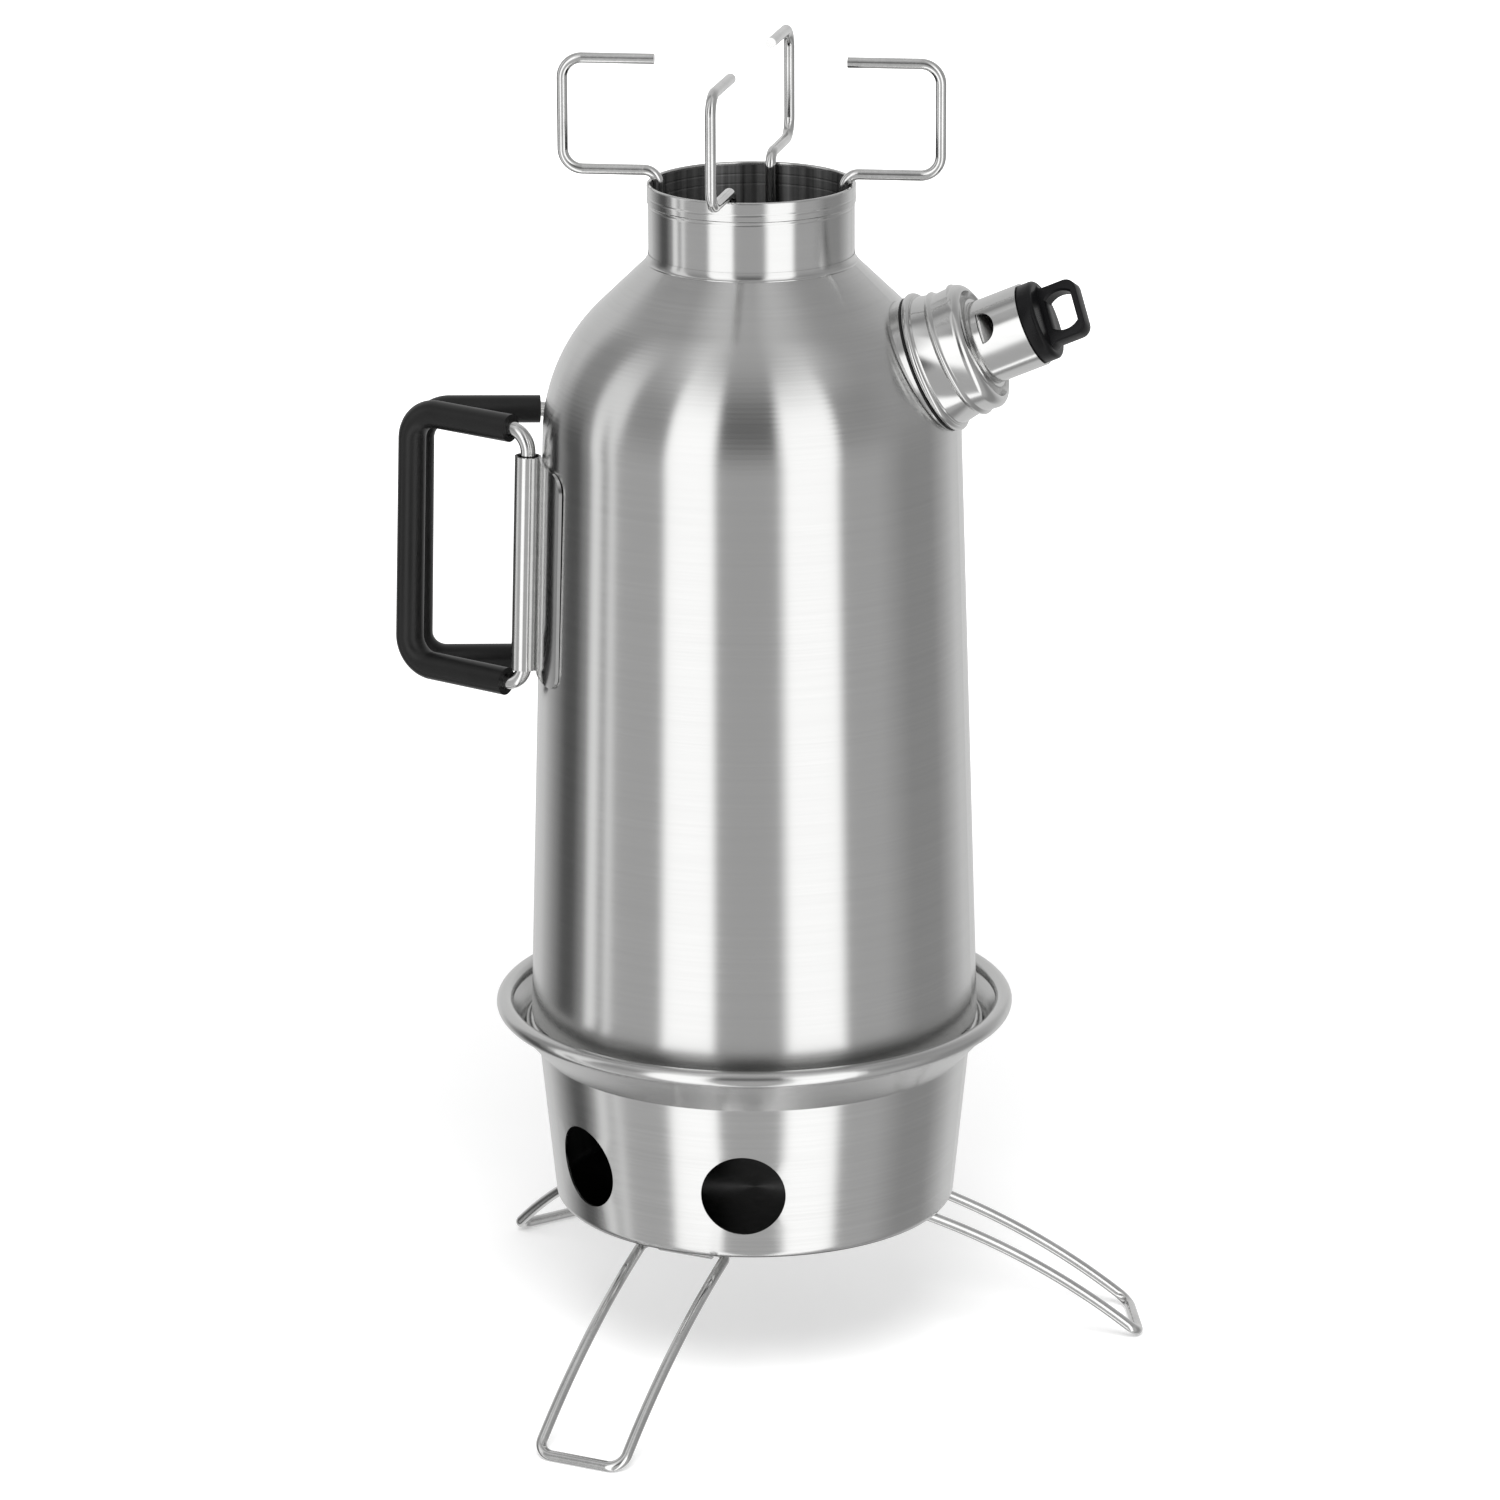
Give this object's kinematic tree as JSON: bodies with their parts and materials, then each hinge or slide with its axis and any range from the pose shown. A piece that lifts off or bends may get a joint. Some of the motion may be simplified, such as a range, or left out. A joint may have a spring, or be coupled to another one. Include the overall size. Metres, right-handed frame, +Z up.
{
  "type": "storm kettle",
  "caption": "Chimney kettle with a water jacket, whistle cap and folding wire handle, standing on a fire bowl with fold-out wire legs, with a crossed-wire pot support on top",
  "frame": {"origin": "on the ground under the kettle's axis, level with the underside of the feet", "axes": "Z up along the kettle's axis, X towards the spout, Y to the left of someone looking along the spout; the handle is on -X"},
  "size_m": [0.2112, 0.1937, 0.3722],
  "materials": {
    "kettle_steel": "stainless sheet brushed round the axis, with soft bright bands",
    "bowl_steel": "stainless sheet brushed round the axis, a little coarser than the kettle",
    "flue_steel": "stainless sheet, drawn lengthwise inside",
    "cap_steel": "thin stainless, turned and rolled, fairly bright",
    "wire_steel": "drawn stainless wire, satin grey",
    "hinge_steel": "stainless sheet, satin",
    "grip_silicone": "black silicone hose, matt",
    "seal_silicone": "black silicone, matt",
    "loop_plastic": "black nylon with a satin sheen"
  },
  "bodies": {
    "bowl": {"fire_bowl": "bowl_steel", "leg_bracket_1": "hinge_steel", "leg_bracket_2": "hinge_steel", "leg_bracket_3": "hinge_steel"},
    "leg_1": {"leg_1": "wire_steel"},
    "leg_2": {"leg_2": "wire_steel"},
    "leg_3": {"leg_3": "wire_steel"},
    "kettle": {"outer_shell": "kettle_steel", "flue": "flue_steel", "base_ring": "kettle_steel", "neck_collar": "kettle_steel", "spout_collar": "kettle_steel", "spout_neck": "cap_steel", "handle_bracket_right": "hinge_steel", "handle_bracket_left": "hinge_steel"},
    "handle_right": {"handle_wire_right": "wire_steel", "handle_grip_right": "grip_silicone"},
    "handle_left": {"handle_wire_left": "wire_steel", "handle_grip_left": "grip_silicone"},
    "cap_seal": {"spout_gasket": "seal_silicone"},
    "cap": {"whistle_cap": "cap_steel", "whistle_tube": "cap_steel", "whistle_disc": "cap_steel", "cap_loop": "loop_plastic"},
    "pot_lower": {"pot_support_lower": "wire_steel"},
    "pot_upper": {"pot_support_upper": "wire_steel"}
  },
  "joints": [
    {"name": "leg_1_fold", "type": "hinge", "parent": "bowl", "child": "leg_1", "pos_m": [0.04144, 0.01323, 0.0414], "axis": [-0.304, 0.9527, 0], "range_deg": [0, 148]},
    {"name": "leg_2_fold", "type": "hinge", "parent": "bowl", "child": "leg_2", "pos_m": [-0.03217, 0.02928, 0.0414], "axis": [-0.673, -0.7396, 0], "range_deg": [0, 138]},
    {"name": "leg_3_fold", "type": "hinge", "parent": "bowl", "child": "leg_3", "pos_m": [-0.00927, -0.0425, 0.0414], "axis": [0.977, -0.213, 0], "range_deg": [0, 131]},
    {"name": "kettle_lift", "type": "slide", "parent": "bowl", "child": "kettle", "axis": [0, 0, 1], "range_m": [0, 0.11]},
    {"name": "handle_right_fold", "type": "hinge", "parent": "kettle", "child": "handle_right", "pos_m": [-0.06051, -0.01735, 0.2303], "axis": [0.0294, 0.0084, 0.9995], "range_deg": [0, 112]},
    {"name": "handle_left_fold", "type": "hinge", "parent": "kettle", "child": "handle_left", "pos_m": [-0.06051, 0.01735, 0.2303], "axis": [-0.0294, 0.0084, -0.9995], "range_deg": [0, 112]},
    {"name": "cap_lift", "type": "slide", "parent": "kettle", "child": "cap_seal", "axis": [0.915, 0, 0.4035], "range_m": [0, 0.009]},
    {"name": "cap_turn", "type": "hinge", "parent": "cap_seal", "child": "cap", "pos_m": [0.05219, 0, 0.2896], "axis": [0.915, 0, 0.4035], "range_deg": [0, 540]},
    {"name": "pot_support_lift", "type": "slide", "parent": "kettle", "child": "pot_lower", "axis": [0, 0, 1], "range_m": [0, 0.05]},
    {"name": "pot_support_part", "type": "slide", "parent": "pot_lower", "child": "pot_upper", "axis": [0, 0, 1], "range_m": [0, 0.05]}
  ],
  "couplings": [
    {"joint": "cap_lift", "follows": "cap_turn", "m_per_rad": 0.00095493}
  ]
}
